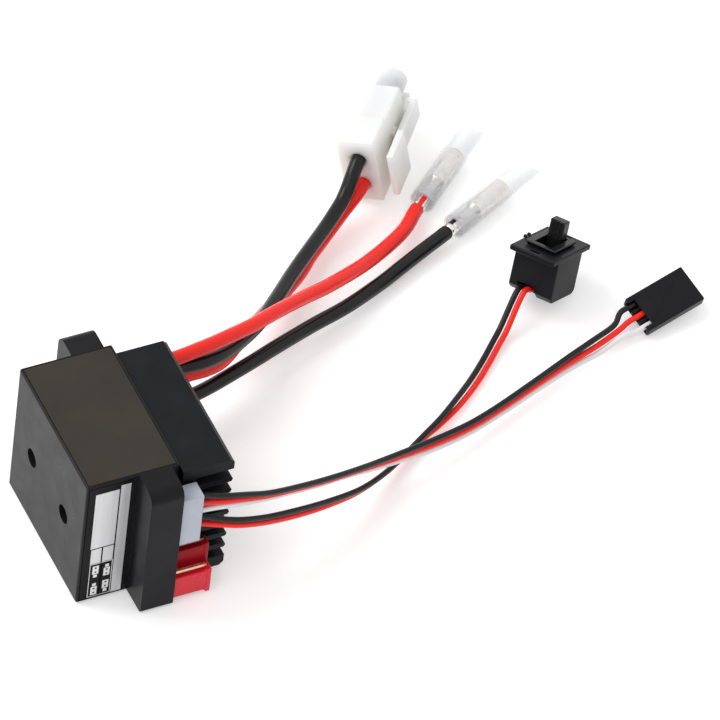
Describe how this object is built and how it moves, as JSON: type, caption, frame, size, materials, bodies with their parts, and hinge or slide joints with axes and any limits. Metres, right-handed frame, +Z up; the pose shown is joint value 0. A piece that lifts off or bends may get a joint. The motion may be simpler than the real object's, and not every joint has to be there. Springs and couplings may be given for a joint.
{
  "type": "brushed motor speed controller",
  "caption": "Waterproof brushed speed controller for a model car: ribbed case with ears and finned heat sink, jumpers, battery and motor leads, slide switch and receiver plug.",
  "frame": {"origin": "under the middle of the case, on the surface that the case's long side stands on", "axes": "+X from the case bottom to the fin tips, +Y from the signal end to the power end, +Z up to the label"},
  "size_m": [0.1488, 0.1076, 0.033],
  "materials": {
    "black_plastic": "satin black moulding",
    "switch_black": "satin black moulding",
    "black_aluminium": "black anodised",
    "label_film": "glued film",
    "sealing_resin": "cast resin",
    "board_green": "solder mask",
    "chip_black": "moulded package",
    "pad_grey": "silicone pad",
    "capacitor_sleeve": "sleeved can",
    "white_plastic": "satin white moulding",
    "natural_nylon": "translucent nylon",
    "red_plastic": "satin red moulding",
    "tinned_brass": "tin plated",
    "steel": "zinc plated",
    "clear_pvc": "clear soft vinyl",
    "wire_red": "soft insulation",
    "wire_black": "soft insulation",
    "wire_white": "soft insulation"
  },
  "bodies": {
    "controller": {"case_shell": "black_plastic", "top_label": "label_film", "end_label": "label_film", "heat_sink": "black_aluminium", "circuit_board": "board_green", "thermal_pad": "pad_grey", "power_transistor_1": "chip_black", "power_transistor_2": "chip_black", "power_transistor_3": "chip_black", "power_transistor_4": "chip_black", "board_screw_1": "steel", "board_screw_2": "steel", "board_screw_3": "steel", "board_screw_4": "steel", "lower_capacitor": "capacitor_sleeve", "upper_capacitor": "capacitor_sleeve", "control_chip": "chip_black", "voltage_regulator": "chip_black", "power_end_resin": "sealing_resin", "signal_end_resin": "sealing_resin", "signal_socket": "white_plastic", "signal_plug": "white_plastic", "reverse_header": "black_plastic", "reverse_header_pin_1": "tinned_brass", "reverse_header_pin_2": "tinned_brass", "reverse_header_pin_3": "tinned_brass", "battery_header": "black_plastic", "battery_header_pin_1": "tinned_brass", "battery_header_pin_2": "tinned_brass", "battery_header_pin_3": "tinned_brass", "receiver_lead_black": "wire_black", "receiver_lead_red": "wire_red", "receiver_lead_white": "wire_white", "switch_lead_black": "wire_black", "switch_lead_red": "wire_red", "motor_lead_black": "wire_black", "motor_lead_red": "wire_red", "battery_lead_black": "wire_black", "battery_lead_red": "wire_red", "battery_plug_housing": "natural_nylon", "battery_plug_contact_black": "tinned_brass", "battery_plug_contact_red": "tinned_brass", "motor_socket_red": "tinned_brass", "motor_socket_black": "tinned_brass", "clear_sleeve_red": "clear_pvc", "clear_sleeve_black": "clear_pvc", "switch_holder": "black_plastic", "switch_body": "switch_black", "receiver_plug_housing": "black_plastic", "receiver_plug_contact_black": "tinned_brass", "receiver_plug_contact_red": "tinned_brass", "receiver_plug_contact_white": "tinned_brass"},
    "power_switch_lever": {"switch_lever": "switch_black"},
    "reverse_jumper": {"reverse_jumper_cap": "red_plastic", "reverse_jumper_clip": "tinned_brass"},
    "battery_jumper": {"battery_jumper_cap": "red_plastic", "battery_jumper_clip": "tinned_brass"},
    "battery_latch": {"battery_plug_latch": "natural_nylon"}
  },
  "joints": [
    {"name": "switch_slide", "type": "slide", "parent": "controller", "child": "power_switch_lever", "axis": [-0.809, -0.4514, 0.3765], "range_m": [0, 0.004]},
    {"name": "reverse_jumper_pull", "type": "slide", "parent": "controller", "child": "reverse_jumper", "axis": [1, 0, 0], "range_m": [0, 0.0085]},
    {"name": "battery_jumper_pull", "type": "slide", "parent": "controller", "child": "battery_jumper", "axis": [1, 0, 0], "range_m": [0, 0.0085]},
    {"name": "battery_latch_hinge", "type": "hinge", "parent": "controller", "child": "battery_latch", "pos_m": [0.0906, 0.06802, 0.00996], "axis": [0.1826, -0.1587, -0.9703], "range_deg": [0, 8], "stiffness_Nm_per_rad": 0.02}
  ]
}
